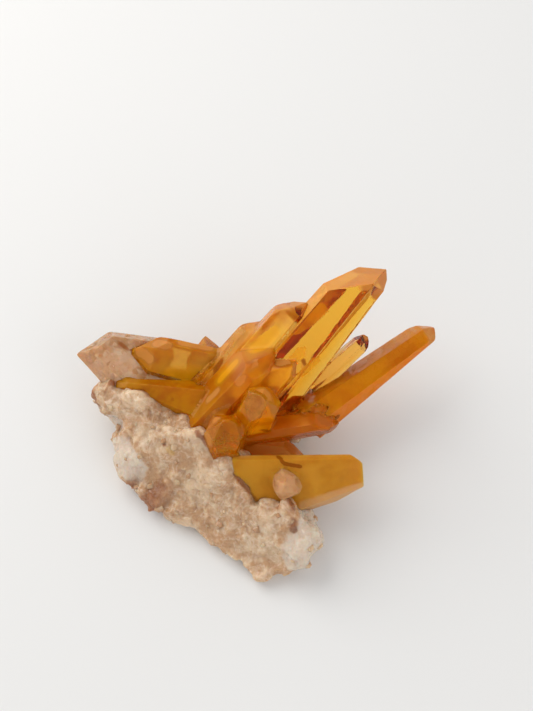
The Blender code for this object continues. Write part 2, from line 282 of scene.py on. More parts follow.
# %% [markdown]
# Every crystal of the fan has its own character: one is clear, the next is clouded by tiny
# bubbles, one glows orange, another is half dissolved and round. So each gets a row with its
# centre line, its half width and four numbers: how cloudy it is, how frosted its tip is, how
# often its skin is relaxed, and how much orange its cloud holds.
#
# The middle crystals grew through each other and are one mesh. There a point belongs to the
# crystal whose side it is on, which the centre lines tell. Materials split over a seam could
# do the same, but then every seam would have to be found by hand.

# %% The crystals, one by one
Body = namedtuple("Body", "root tip half_width cloud tip_frost rounding warmth")

BODIES = {
    "tall": Body((-1.2, 3.1, 6.2), (17.6, 19.8, 23.6), 4.6, 0.05, 0.0, 0, 0.2),
    "twin": Body((-6.8, 4.7, 7.0), (7.1, 16.6, 19.7), 3.4, 1.0, 0.0, 26, 0.2),
    "slim": Body((-10.4, 6.1, 7.3), (0.3, 16.1, 15.5), 2.7, 0.6, 0.0, 4, 0.1),
    "long": Body((-9.1, 1.4, 7.8), (2.2, 9.4, 18.0), 3.7, 0.85, 0.0, 14, 0.15),
    "inner": Body((-2.9, 1.9, 10.0), (6.2, 8.7, 17.2), 2.6, 0.8, 0.0, 24, 0.2),
    "middle": Body((-1.3, 1.5, 7.0), (1.4, -0.2, 21.0), 3.5, 0.8, 0.2, 26, 0.15),
    "glowing": Body((-2.8, -0.6, 7.0), (11.9, -0.2, 11.0), 2.7, 0.85, 0.0, 18, 1.0),
    "stub": Body((4.9, 0.5, 8.0), (12.6, 2.6, 11.0), 2.0, 0.6, 0.0, 4, 0.7),
    "under": Body((-3.0, -2.2, 5.0), (7.4, -3.5, 6.0), 2.3, 0.85, 0.0, 8, 0.8),
    "leaning": Body((-5.8, -2.9, 8.0), (-4.1, -2.0, 17.0), 3.5, 0.6, 0.0, 8, 0.0),
    "back_tip": Body((-8.2, 9.7, 6.2), (-8.9, 15.5, 12.3), 2.8, 0.9, 1.0, 2, 0.1),
    "back_low": Body((-3.5, 5.3, 4.5), (1.2, 13.9, 7.2), 2.6, 0.6, 0.2, 2, 0.3),
    "right_crystal": Body((8.5, 1.6, 8.2), (29.3, 15.9, 14.2), 3.3, 1.0, 0.3, 3, 0.15),
    "front_crystal": Body((-3.0, -9.3, 6.4), (17.4, -9.4, 9.0), 4.6, 0.95, 0.0, 2, 0.0),
    "left_crystal": Body((-7.0, 10.9, 9.0), (-19.0, 12.6, 12.0), 3.4, 1.0, 0.0, 6, 0.0),
    "low_left_crystal": Body((-8.2, 2.8, 8.3), (-22.0, 6.7, 10.2), 3.6, 0.85, 0.0, 6, 0.0),
    "far_left_crystal": Body((-15.9, 13.2, 5.0), (-28.6, 12.2, 11.0), 4.3, 0.6, 0.4, 3, 0.0),
    "small_crystal": Body((9.9, 7.9, 9.0), (17.9, 12.5, 16.1), 1.9, 0.05, 0.0, 0, 0.2),
    "back_crystal": Body((-9.0, 7.8, 3.8), (-12.2, 14.5, 4.4), 2.1, 0.6, 0.4, 2, 0.3),
    "bead_crystal": Body((4.9, -10.3, 8.5), (4.9, -10.3, 12.5), 2.3, 0.9, 0.5, 4, 0.0),
}
CENTRE = [name for name in BODIES if not name.endswith("crystal")]
SWELL = 1.05               # a six-sided skin lies this much further out, taken all round


def held(value):
    """The value, held between 0 and 1."""
    return min(1.0, max(0.0, value))


def away_and_along(point, body):
    """How far a point is from a crystal's centre line, and how far along it, in mm."""
    root = Vector(body.root)
    way = (Vector(body.tip) - root).normalized()
    along = (point - root).dot(way)
    return (point - root - way * along).length, along


def length_of(body):
    return (Vector(body.tip) - Vector(body.root)).length


def owner(point, names):
    """The crystal whose side the point lies on, out of several."""
    def miss(name):
        body = BODIES[name]
        away, along = away_and_along(point, body)
        past_end = max(0.0, along - length_of(body) - body.half_width, -along)
        return abs(away - body.half_width * SWELL) + past_end
    return min(names, key=miss)


print(len(BODIES), "crystals,", len(CENTRE), "of them grown through each other")

# %% [markdown]
# Where is a crystal frosted, where stained with rust? And where is light or shade painted into
# its colour: a pale sheen where it reflects the window, a glow where light comes through, a dark
# shade where clear faces show darker surroundings? On the real one that follows its growth, the
# way it broke and the way its faces meet the light, so no noise can place it. The marks are
# listed as capsules: two ends, a radius, and the crystal they lie on. Later each point of the
# mesh gets a number from them, 1 well inside a mark, one half on its rim and 0 outside, and the
# material cuts that number off sharply or softly. Where a whole face is frosted, or carries
# painted sheen, glow or shade, the way the face looks picks it out.

# %% The marks on them
Mark = namedtuple("Mark", "on start end radius")
Face = namedtuple("Face", "on looking strength")

# Pinkish frosted patches, as if breathed on; their pale colour also paints the window's sheen
FROST_AND_SHEEN_PATCHES = [
    Mark("tall", (18.9, 20.9, 24.0), (19.9, 17.4, 23.4), 1.5),
    Mark("tall", (7.2, 16.9, 20.6), (7.0, 17.4, 20.2), 1.5),
    Mark("twin", (7.2, 16.9, 20.6), (7.0, 17.4, 20.2), 1.5),
    Mark("twin", (6.8, 16.1, 21.4), (7.4, 16.2, 21.4), 0.9),
    Mark("tall", (17.1, 17.2, 25.7), (17.9, 17.2, 25.7), 0.8),
    Mark("tall", (7.9, 8.3, 17.4), (7.9, 7.3, 16.7), 0.4),
    Mark("right_crystal", (28.9, 14.8, 15.4), (29.7, 13.0, 15.0), 1.0),
    Mark("small_crystal", (17.6, 13.6, 17.4), (18.6, 12.6, 17.2), 0.7),
    Mark("left_crystal", (-19.6, 12.6, 12.6), (-17.9, 11.0, 13.0), 1.1),
    Mark("left_crystal", (-16.5, 13.1, 14.4), (-14.6, 12.3, 15.3), 0.9),
    Mark("left_crystal", (-12.4, 13.2, 14.6), (-7.6, 12.8, 13.6), 0.8),
    Mark("long", (-2.6, 4.2, 17.5), (1.6, 8.9, 18.4), 0.75),
    Mark("long", (-7.6, 3.3, 13.3), (-6.2, 4.2, 14.5), 0.75),
    Mark("middle", (0.3, -0.4, 20.4), (1.6, 1.2, 19.4), 1.7),
    Mark("middle", (3.2, -1.4, 15.0), (3.9, -0.6, 17.0), 0.7),
    Mark("leaning", (-8.2, -5.0, 13.4), (-5.4, -1.0, 15.0), 1.2),
    Mark("slim", (-6.5, 12.4, 13.3), (-4.6, 13.0, 13.9), 0.7),
    Mark("front_crystal", (-2.4, -5.4, 12.2), (0.6, -5.2, 12.4), 0.9),
    Mark("front_crystal", (8.0, -13.0, 7.6), (17.4, -10.6, 10.2), 1.0),
]
# Whole faces that are frosted, by the way they look; their pale colour also paints the window's
# sheen
FROST_AND_SHEEN_FACES = [
    Face("tall", (-0.73, 0.24, 0.64), 0.66),
    Face("tall", (-0.22, 0.51, 0.83), 0.95),
    Face("tall", (0.82, -0.30, 0.49), 0.95),
    Face("front_crystal", (0.30, -0.95, -0.13), 0.95),
    Face("front_crystal", (0.99, 0.05, 0.10), 0.8),
    Face("far_left_crystal", (-0.41, -0.79, 0.46), 0.66),
    Face("leaning", (-0.32, -0.51, 0.80), 0.6),
]
# Whole back faces painted dark orange: painted shade, which shows as a dark stripe through the
# clear faces in front
PAINTED_SHADE_FACES = [
    Face("tall", (-0.56, 0.81, -0.17), 0.55),
    Face("tall", (0.73, -0.24, -0.64), 0.45),
]
# Whole faces with a painted orange glow, where light comes through the crystal
PAINTED_ORANGE_GLOW_FACES = [
    Face("right_crystal", (0.50, -0.81, 0.30), 1.0),
    Face("glowing", (0.0, -0.8, -0.6), 1.0),
]
# Painted glow: bright spots where a crystal looks lit from within
PAINTED_GLOW_MARKS = [
    Mark("left_crystal", (-14.0, 9.0, 10.6), (-10.2, 9.2, 10.8), 2.6),
    Mark("twin", (0.0, 10.4, 17.0), (3.0, 12.6, 19.0), 1.8),
    Mark("long", (-5.6, 6.4, 14.4), (-3.4, 8.4, 16.6), 1.2),
    Mark("middle", (0.0, -3.4, 14.0), (1.4, -3.0, 11.6), 1.4),
    Mark("glowing", (3.0, -3.2, 9.4), (9.0, -3.0, 10.0), 1.2),
]
# Rust: thin dark lines and spots in cracks and along broken edges
RUST_MARKS = [
    Mark("leaning", (-3.3, -1.6, 15.8), (-2.3, -4.3, 13.3), 0.42),
    Mark("leaning", (-2.3, -4.3, 13.3), (-3.0, -6.2, 12.0), 0.42),
    Mark("middle", (1.2, -2.2, 12.6), (2.8, -1.7, 11.0), 0.6),
    Mark("tall", (7.6, 8.6, 17.6), (8.6, 7.2, 16.4), 0.35),
    Mark("stub", (12.6, 2.0, 10.3), (13.7, 1.4, 10.3), 0.45),
    Mark("right_crystal", (12.6, 1.9, 9.8), (13.7, 1.4, 10.4), 0.5),
    Mark("low_left_crystal", (-13.6, 4.1, 11.4), (-13.2, 3.5, 9.2), 0.4),
    Mark("far_left_crystal", (-24.8, 15.0, 12.9), (-21.6, 13.3, 12.4), 0.4),
    Mark("front_crystal", (3.2, -5.7, 12.4), (4.7, -7.4, 12.0), 0.36),
    Mark("front_crystal", (4.7, -7.4, 12.0), (7.2, -7.8, 11.8), 0.36),
]
# Places on the lump: clear as ice, deep in rust, and one yellow spot
LUMP_CLEAR = [
    Mark("matrix", (-22.8, -2.6, 6.0), (-20.4, -6.0, 6.4), 2.6),
    Mark("matrix", (8.8, -14.4, 6.0), (7.6, -21.0, 6.4), 3.4),
    Mark("matrix", (-24.0, 4.0, 6.0), (-22.0, 2.0, 6.0), 1.4),
]
LUMP_RUST = [
    Mark("matrix", (-18.0, -5.0, 4.0), (-20.8, -7.4, 2.4), 2.0),
    Mark("matrix", (-15.0, -8.4, 3.8), (-18.0, -11.6, 2.2), 2.4),
    Mark("matrix", (5.8, -13.0, 10.3), (6.1, -17.0, 8.2), 0.7),
    Mark("matrix", (-28.0, 7.6, 8.4), (-27.0, 4.8, 7.6), 0.7),
    Mark("matrix", (-24.3, 7.5, 11.0), (-17.4, 5.0, 12.0), 0.55),
    Mark("matrix", (-15.2, 4.2, 11.9), (-13.4, 2.4, 11.4), 0.7),
    Mark("matrix", (-9.2, -2.6, 13.6), (-8.0, -5.2, 12.4), 0.4),
    Mark("matrix", (-3.4, -8.6, 10.9), (-0.6, -11.2, 9.2), 0.55),
    Mark("matrix", (-15.0, -3.3, 10.3), (-14.8, -3.4, 10.2), 0.35),
    Mark("matrix", (0.6, -12.4, 9.0), (4.6, -14.0, 9.4), 0.45),
]
LUMP_YELLOW = [Mark("matrix", (-13.9, -4.2, 10.2), (-13.5, -4.8, 10.2), 0.55)]


def inside_mark(point, mark):
    """1 well inside, one half on the rim, 0 outside."""
    start, end = Vector(mark.start), Vector(mark.end)
    way = end - start
    share = held((point - start).dot(way) / max(way.length_squared, 1e-9))
    away = (point - start - way * share).length
    return held(1.5 - away / mark.radius)


def marked(point, marks, name):
    return max([inside_mark(point, mark) for mark in marks if mark.on == name], default=0.0)


print(len(FROST_AND_SHEEN_PATCHES) + len(PAINTED_GLOW_MARKS) + len(RUST_MARKS), "marks on the crystals")
print(len(LUMP_CLEAR) + len(LUMP_RUST) + len(LUMP_YELLOW), "on the lump")

# %% [markdown]
# The body of a crystal takes blue out of the light, then green, the more the longer the way
# through it. That is Volume Absorption: a thin edge stays pale yellow, the middle turns amber
# and a long way round inside turns red-brown. Fine cracks and bubbles also scatter light, and
# the faces carry a frosted skin here and there, so a second, cloudy surface is mixed in by the
# numbers at each point. The same numbers paint light and shade into its colour: a pale sheen
# where faces reflect the window, an orange glow where light comes through, a yellow one where a
# crystal looks lit from within, and a dark shade where the clear faces show darker surroundings.
# Growth lines cross the prism faces, and they are too fine to be mesh.

# %% The crystals' finish
QUARTZ_IOR = 1.544
RUST = srgb(140, 64, 0)
ORANGE = srgb(242, 126, 0)
PAINTED_SHADE_ORANGE = srgb(236, 118, 0)
PAINTED_GLOW_YELLOW = srgb(255, 192, 24)
AMBER_SHINE = (0.9, 0.68, 0.35)       # the reflections are a little amber
LINES = 0.010                         # heights of the growth lines and of the frost, in mm
FROST_GRAIN = 0.02
STRETCH = 0.15                        # the growth lines' noise is stretched across the crystal
CROWDING = 4.0                        # and crowded along it
# The frost's edge is also the edge of the painted sheen that shares its mask
FROST_AND_SHEEN_EDGE = (0.20, 0.85)             # where frost, rust and cloud begin and where they are full
RUST_EDGE = (0.36, 0.72)
CLOUD_EDGE = (0.12, 0.80)


def line_place(finish, along):
    """A place whose noise changes mostly along the crystal: the growth lines that cross it."""
    stretched = finish.vector("SCALE", {0: finish.place, "Scale": STRETCH})
    parts = finish.add("ShaderNodeSeparateXYZ", {}, {"Vector": Wire(stretched.outputs[0])})
    joined = finish.add("ShaderNodeCombineXYZ", {}, {
        "X": along * CROWDING, "Y": Wire(parts.outputs["Y"]), "Z": Wire(parts.outputs["Z"]),
    })
    return Wire(joined.outputs[0])


def mixed(finish, first, second, amount):
    """Two surfaces laid over each other."""
    both = finish.add("ShaderNodeMixShader", {}, {"Fac": amount})
    finish.tree.links.new(first.outputs[0], both.inputs[1])
    finish.tree.links.new(second.outputs[0], both.inputs[2])
    return both


def absorb(finish, colour, density):
    inside = finish.add("ShaderNodeVolumeAbsorption", {}, {"Color": colour, "Density": density})
    finish.tree.links.new(inside.outputs[0], finish.out.inputs["Volume"])


# What sets one kind of crystal apart: tint of its skin, colour and density of its inside, the
# cloud's light and dark colour, the colour of its frost and painted sheen, roughness, height of
# its waves, how much the cloud covers, and how steep its sugary grains are.
Look = namedtuple("Look", "tint through density amber deep skin polish waviness milkiness sugar")


def crystal_finish(name, look):
    finish = Finish(name)
    veils = finish.noise(4.5, 4.0, 0.5, distortion=0.4)
    patches = finish.noise(1.3, 3.0)
    grain = finish.noise(0.30, 2.0)
    lines = finish.noise(1.0, 2.0, place=line_place(finish, finish.painted("along")))

    frost = finish.painted("frost") + (patches - 0.5) * 0.6 + (grain - 0.5) * 0.2
    rust = finish.painted("rust") + (patches - 0.5) * 0.5 + (grain - 0.5) * 0.3
    frost_and_sheen_mask = finish.between(frost, *FROST_AND_SHEEN_EDGE)
    rusty = finish.between(rust, *RUST_EDGE)
    cloudy = finish.between(finish.painted("cloud") + (veils - 0.5) * 0.6, *CLOUD_EDGE)
    painted_glow = finish.painted("painted_glow")
    painted_shade_film = finish.painted("painted_shade_film")

    depth = finish.between(veils + (patches - 0.5) * 0.4, 0.36, 0.70)
    body = finish.mix(look.amber, look.deep, depth)
    # Each crystal's own orange, and a painted orange glow on the faces that light comes through
    body = finish.mix(body, ORANGE, finish.painted("warmth") * 0.8)
    # Painted glow: a bright yellow where a crystal looks lit from within
    body = finish.mix(body, PAINTED_GLOW_YELLOW, painted_glow * 0.55)
    # Frost, and a painted sheen: the pale skin colour stands in for the window's reflection on
    # these faces
    body = finish.mix(body, finish.mix(look.skin, look.amber, grain * 0.5), frost_and_sheen_mask * 0.8)
    body = finish.mix(body, RUST, rusty * 0.85)
    # Painted shade: dark orange on the back faces, seen as dark stripes through the clear ones
    body = finish.mix(body, PAINTED_SHADE_ORANGE, painted_shade_film)
    relief = lines * LINES + patches * look.waviness + grain * frost_and_sheen_mask * FROST_GRAIN
    etched = finish.bump(relief + finish.tilted(0.8) * look.sugar, 1.0)

    clear = finish.surface({
        "Base Color": look.tint, "Roughness": look.polish + cloudy * 0.22, "IOR": QUARTZ_IOR,
        "Transmission Weight": 1.0, "Normal": etched, "Specular Tint": AMBER_SHINE,
    })
    hazy = finish.surface({
        "Base Color": body, "Roughness": 0.26 + frost_and_sheen_mask * 0.2, "IOR": QUARTZ_IOR,
        "Specular IOR Level": 0.12, "Specular Tint": AMBER_SHINE,
        "Subsurface Weight": 0.4, "Subsurface Radius": (1.0, 0.5, 0.1),
        "Subsurface Scale": 3.0 * MM, "Normal": etched,
    })
    # The hazy surface also carries the painted glow, the painted sheen and the painted shade
    covered = (cloudy * look.milkiness).highest(painted_glow * 0.6).highest(frost_and_sheen_mask * 0.64)
    covered = covered.highest(rusty * 0.9).highest(painted_shade_film)
    absorb(finish, look.through, look.density)
    return finish.show(mixed(finish, clear, hazy, covered))


# The colour of frost, which also paints the sheen of the window's reflection on some faces
FROST_AND_SHEEN_SKIN = srgb(208, 146, 86)
LOOKS = {
    "golden quartz": Look(
        tint=(1.0, 0.95, 0.78), through=(0.9925, 0.78, 0.0), density=320.0,
        amber=srgb(242, 156, 0), deep=srgb(214, 118, 0), skin=FROST_AND_SHEEN_SKIN,
        polish=0.03, waviness=0.008, milkiness=0.42, sugar=0.0
    ),
    "little golden quartz": Look(
        tint=(1.0, 0.92, 0.66), through=(0.99, 0.72, 0.0), density=520.0,
        amber=srgb(222, 138, 0), deep=srgb(190, 100, 0), skin=FROST_AND_SHEEN_SKIN,
        polish=0.03, waviness=0.012, milkiness=0.38, sugar=0.0
    ),
    "fiery quartz": Look(
        tint=(1.0, 0.93, 0.7), through=(0.992, 0.80, 0.0), density=600.0,
        amber=srgb(222, 138, 0), deep=srgb(206, 112, 0), skin=FROST_AND_SHEEN_SKIN,
        polish=0.06, waviness=0.045, milkiness=0.68, sugar=0.25
    ),
    "satin quartz": Look(
        tint=(1.0, 0.96, 0.82), through=(0.99, 0.80, 0.10), density=260.0,
        amber=srgb(220, 152, 40), deep=srgb(204, 130, 22), skin=srgb(224, 176, 128),
        polish=0.15, waviness=0.008, milkiness=0.72, sugar=0.03
    ),
    "pale quartz": Look(
        tint=(1.0, 0.98, 0.94), through=(0.985, 0.89, 0.70), density=120.0,
        amber=srgb(240, 184, 134), deep=srgb(218, 154, 98), skin=srgb(232, 178, 134),
        polish=0.07, waviness=0.035, milkiness=0.6, sugar=0.9
    ),
}
FINISHES = {name: crystal_finish(name, look) for name, look in LOOKS.items()}
print("finishes:", ", ".join(FINISHES))

# %% [markdown]
# Each crystal starts from the frame's solid, whose faces are flat and whose edges are
# knife-sharp. On the real ones the edges are a little worn and catch the light. So they get a
# narrow bevel, and the faces are cut into small triangles that can carry numbers and waves. A
# Bevel modifier would do the edges, but it can't leave out the corners where crystals meet.

# %% Worn edges and small triangles
EDGE_WEAR = 0.07
TRIANGLE_SIDE = 0.36
MERGE = 0.0001 * MM
FLAT_ENOUGH = math.radians(0.7)
EDGE_ANGLE = math.radians(12.0)
MOST_CUTS = 9


def welded(node):
    """The frame's solid, with the points that lie on each other merged."""
    work = bmesh.new()
    work.from_mesh(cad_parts[node].data)
    bmesh.ops.remove_doubles(work, verts=work.verts[:], dist=MERGE)
    return work


def whole_faces(node):
    """The frame's solid, with its flat faces in one piece each."""
    work = welded(node)
    bmesh.ops.dissolve_limit(
        work, angle_limit=FLAT_ENOUGH, verts=work.verts[:], edges=work.edges[:]
    )
    return work


def wear_edges(work, width):
    """A narrow bevel along the edges that stand out."""
    def worn(edge):
        return edge.is_convex and edge.calc_face_angle(0.0) > EDGE_ANGLE
    bmesh.ops.bevel(
        work, geom=[edge for edge in work.edges if worn(edge)], offset=width * MM,
        offset_type="OFFSET", segments=2, profile=0.5, affect="EDGES", clamp_overlap=False
    )


def cut_small(work, side):
    """Cut every face into triangles with no side much longer than that."""
    bmesh.ops.triangulate(work, faces=work.faces[:])
    for _ in range(MOST_CUTS):
        too_long = [edge for edge in work.edges if edge.calc_length() > side * MM]
        if not too_long:
            break
        bmesh.ops.subdivide_edges(work, edges=too_long, cuts=1)
        bmesh.ops.triangulate(work, faces=[face for face in work.faces if len(face.verts) > 3])


flat = whole_faces("centre_crystals")
print("the middle crystals start with", len(flat.faces), "flat faces")
flat.free()

# %% [markdown]
# Some crystals of the fan are half dissolved and round, and where two grew together the seam
# has healed into a soft fold. Moving each point half way towards the middle of its neighbours
# wears a shape down a little every time, so the number of turns says how round it gets. A
# Subdivision Surface would round everything alike. The tall crystal stays sharp, seams too.

# %% Round crystals and healed seams
SEAM_TURNS = 7


def soften(work, verts):
    """Move each point half way towards the middle of its neighbours."""
    bmesh.ops.smooth_vert(
        work, verts=verts, factor=0.5, use_axis_x=True, use_axis_y=True, use_axis_z=True
    )


def relax(work, owners):
    """Round the crystals that are half dissolved, and the seams where two grew together."""
    left = [BODIES[name].rounding for name in owners]
    seam = set()
    for edge in work.edges:
        first, second = (vert.index for vert in edge.verts)
        if owners[first] != owners[second] and "tall" not in (owners[first], owners[second]):
            seam.update((first, second))
    for index in seam:
        for edge in work.verts[index].link_edges:
            near = edge.other_vert(work.verts[index]).index
            left[near] = max(left[near], SEAM_TURNS)
    for turn in range(max(left)):
        soften(work, [vert for vert, times in zip(work.verts, left) if times > turn])


def finish_mesh(name, work, sharp_above):
    """A mesh with smooth shading, but sharp where it bends by more than that many degrees."""
    mesh = bpy.data.meshes.new(name)
    bmesh.ops.recalc_face_normals(work, faces=work.faces[:])
    work.to_mesh(mesh)
    work.free()
    mesh.shade_smooth()
    mesh.set_sharp_from_angle(angle=math.radians(sharp_above))
    return mesh


print("the roundest crystal is relaxed", max(body.rounding for body in BODIES.values()), "times")

# %% [markdown]
# Frost with its painted sheen, rust, cloud, painted glow and painted shade sit elsewhere on each
# crystal, and rust has crept out of the seams where the crystals stand in the lump. Painted
# textures could show that, but they need an unwrapped mesh. Here each point of the mesh carries
# the numbers itself, worked out from the lists above and from the distance to the lump, and the
# materials read them.

# %% What the points carry
CRYSTAL_GAP = 0.42         # crystals nearer than this to each other touch
OVERLAP = 0.07             # and then lie this deep in each other
RUST_REACH = 0.40          # how far from the lump rust has crept up the crystals
SAME_WAY = 0.90            # the cosine from which a face counts as looking that way,
SAME_WAY_RISE = 0.06       # and how much more makes it count in full
TIP_SHARE = 0.3            # the part of a crystal's length that is its tip


def paint(mesh, attribute, values):
    layer = mesh.attributes.new(attribute, "FLOAT", "POINT")
    layer.data.foreach_set("value", np.array(values, dtype=np.float32))


def solid_tree(node):
    """The frame's solid as a search tree, in millimetres."""
    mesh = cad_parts[node].data
    points = [vertex.co / MM for vertex in mesh.vertices]
    return BVHTree.FromPolygons(points, [tuple(face.vertices) for face in mesh.polygons])


def nearest_crystal(point, trees, reach):
    """The nearest point on any of the solids: place, outward normal, face, distance. Or None."""
    found = [tree.find_nearest(point, reach) for tree in trees]
    found = [hit for hit in found if hit[0] is not None]
    return min(found, key=lambda hit: hit[3], default=None)


def on_face(normal, faces, name):
    """The strength of the face in a list that looks the same way, or 0."""
    strength = 0.0
    for face in faces:
        if face.on == name:
            turned = normal.dot(Vector(face.looking).normalized())
            strength = max(strength, face.strength * held((turned - SAME_WAY) / SAME_WAY_RISE))
    return strength


def frost_and_sheen_at(point, normal, name, toward_tip):
    """How frosted a crystal is there, and how much pale sheen is painted on it."""
    spots = max(marked(point, FROST_AND_SHEEN_PATCHES, name), BODIES[name].tip_frost * toward_tip)
    return max(spots, on_face(normal, FROST_AND_SHEEN_FACES, name))


def crept_rust(point, distance, reach):
    """How far rust has crept out of a seam to there: more in some places than in others."""
    return held(1.5 - distance / reach) * (0.50 + 0.60 * noise.noise(point * 0.45))


def rust_at(point, name):
    """How rusty a crystal is there: in its marks, and in places where it meets the lump."""
    rust = marked(point, RUST_MARKS, name)
    distance = LUMP_TREE.find_nearest(point, RUST_REACH * 2.0)[3]
    if distance is not None:
        rust = max(rust, crept_rust(point, distance, RUST_REACH))
    return rust


LUMP_TREE = solid_tree("matrix")
print("rust creeps up to", round(1.5 * RUST_REACH, 1), "mm up the crystals")

# %% [markdown]
# No face of a real crystal is quite flat, and where two crystals touch there is no gap between
# them, though the solids leave one. So each point moves in or out a few hundredths of a
# millimetre, and a point close to a neighbour is drawn onto it. Only one of the two is drawn,
# or they would change places. A Shrinkwrap modifier could draw them, but onto one target only.

# %% Grow one crystal, or the group in the middle
SHARP_ABOVE = 24.0         # degrees
CARRIED = ("cloud", "frost", "rust", "along", "warmth", "painted_glow", "painted_shade_film")


def ripple(point):
    """How far a face stands out there, in mm: long waves and short ones."""
    return noise.noise(point * 0.35) * 0.04 + noise.noise(point * 1.1) * 0.012


def grown_crystal(node, names, others):
    """The crystal's own mesh. Where it comes close to one of the others, it is drawn onto it."""
    work = whole_faces(node)
    wear_edges(work, EDGE_WEAR)
    cut_small(work, TRIANGLE_SIDE)
    work.verts.ensure_lookup_table()
    work.verts.index_update()
    owners = [owner(vert.co / MM, names) for vert in work.verts]
    relax(work, owners)
    mesh = finish_mesh(node + "_grown", work, SHARP_ABOVE)
    numbers = {attribute: [] for attribute in CARRIED}
    normals = [vertex.normal.copy() for vertex in mesh.vertices]
    for vertex, normal, name in zip(mesh.vertices, normals, owners):
        point = vertex.co / MM
        body = BODIES[name]
        _, along = away_and_along(point, body)
        toward_tip = held((along / length_of(body) - (1.0 - TIP_SHARE)) / TIP_SHARE)
        numbers["cloud"].append(body.cloud)
        # Warmth is each crystal's own orange, with a painted orange glow on some faces
        numbers["warmth"].append(max(body.warmth, on_face(normal, PAINTED_ORANGE_GLOW_FACES, name)))
        # The glow marks are painted light
        numbers["painted_glow"].append(marked(point, PAINTED_GLOW_MARKS, name))
        # The film is painted shade
        numbers["painted_shade_film"].append(on_face(normal, PAINTED_SHADE_FACES, name))
        numbers["frost"].append(frost_and_sheen_at(point, normal, name, toward_tip))
        numbers["rust"].append(rust_at(point, name))
        numbers["along"].append(along)
        vertex.co += normal * ripple(point) * MM
        hit = nearest_crystal(point, others, CRYSTAL_GAP)
        if hit:
            vertex.co = (hit[0] - hit[1] * OVERLAP) * MM
    for attribute, values in numbers.items():
        paint(mesh, attribute, values)
    piece = bpy.data.objects.new(node + "_grown", mesh)
    bpy.context.scene.collection.objects.link(piece)
    return piece


print("each point of a crystal carries", ", ".join(CARRIED))

# %% [markdown]
# The fan is golden and clear, the right crystal fiery and wavy, the front one satin, the far
# left one and the bead pale and sugary. Each could be grown in a cell of its own, but the steps
# are the same for all nine. So a table says which finish each one wears, and a loop grows them.

# %% Grow them all
GROWN = {
    "centre_crystals": "golden quartz", "right_crystal": "fiery quartz",
    "small_crystal": "little golden quartz", "front_crystal": "satin quartz",
    "left_crystal": "golden quartz", "low_left_crystal": "golden quartz",
    "far_left_crystal": "pale quartz", "back_crystal": "golden quartz",
    "bead_crystal": "pale quartz",
}
order = list(GROWN)
for node, look in GROWN.items():
    later = [solid_tree(other) for other in order[order.index(node) + 1:]]
    piece = grown_crystal(node, CENTRE if node == "centre_crystals" else [node], later)
    piece.data.materials.append(FINISHES[look])
    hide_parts(node)
    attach(piece, "root")
    print(node, "has", len(piece.data.polygons), "triangles of", look)

# %% [markdown]
# The lump is milky quartz that broke from the rock: its skin is all chips and grains that
# slope each their own way. Sculpting would do it, but not the same way twice, and noise alone
# gives round hills. So the solid keeps the large shape, a voxel remesh gives it an even skin,
# and each cell of a Voronoi pattern becomes a chip that leans as a noise at its middle says.
# noise_vector starts from the clock, so the chips lean another way each time this is run.

# %% The lump's even skin, and its chips
VOXEL = 0.26
COARSE = 0.30              # height of the lumps, the chips, the grains and the finest roughness
CHIPS = 0.30
GRAINS = 0.20
FINE = 0.03
CHIP_SIZE = 2.1
GRAIN_SIZE = 0.9


def evaluated_copy(piece, name):
    """What the modifiers make of a piece, as a plain mesh."""
    graph = bpy.context.evaluated_depsgraph_get()
    made = bpy.data.meshes.new_from_object(piece.evaluated_get(graph))
    made.name = name
    return made


def remeshed(node, name, voxel):
    """The frame's solid with an even skin of small faces."""
    work = welded(node)
    raw = bpy.data.meshes.new(name + "_raw")
    work.to_mesh(raw)
    work.free()
    piece = bpy.data.objects.new(name, raw)
    bpy.context.scene.collection.objects.link(piece)
    skin = piece.modifiers.new("even skin", "REMESH")
    skin.mode = "VOXEL"
    skin.voxel_size = voxel * MM
    even = evaluated_copy(piece, name)
    piece.modifiers.clear()
    piece.data = even
    return piece


def broken_facets(point, size):
    """A height that slopes another way in each chip, as broken quartz does."""
    middle = noise.voronoi(point / size)[1][0] * size
    return (point - middle).dot(noise.noise_vector(middle * 5.3))


def grain_height(point):
    """How far the broken surface stands out, in mm: lumps, chips and grains."""
    chips = broken_facets(point, CHIP_SIZE) * CHIPS + broken_facets(point, GRAIN_SIZE) * GRAINS
    return noise.noise(point * 0.42) * COARSE + chips + noise.noise(point * 2.6) * FINE


lump = remeshed("matrix", "matrix_grown", VOXEL)
work = bmesh.new()
work.from_mesh(lump.data)
bmesh.ops.triangulate(work, faces=work.faces[:])
for _ in range(2):
    soften(work, work.verts[:])
lump_mesh = finish_mesh("matrix_grown", work, 180.0)
lump.data = lump_mesh
print("the lump has", len(lump_mesh.polygons), "triangles")

# %% [markdown]
# The crystals grew out of the lump, so its skin closes round them, and it is cut flat
# underneath. A Boolean could join them, but each has to stay its own piece. So the chips fade
# out towards a crystal, where the skin is drawn onto it, and towards the foot. The points get
# their numbers in the same pass: clear, rusty, yellow, and how much crust stands there.

# %% Its grains, its seams and its marks
DRAWN_FROM = 0.50          # nearer than this to a crystal, the skin lies on it
FREE_FROM = 1.00           # further than this, it is left alone
FOOT_HEIGHT = 0.7          # the flat cut below stays flat up to here
SEAM_RUST = 0.7            # how far rust has crept from the crystals over the lump
BARE_RIM = 0.8             # no small points this near to a crystal or to the foot


def druse_at(point, distance):
    """How densely small points stand there: in patches, away from crystals and foot."""
    patch = held(noise.noise(point * 0.25) * 2.5 + 0.5)
    return patch * held(distance - BARE_RIM) * held(point.z - BARE_RIM)


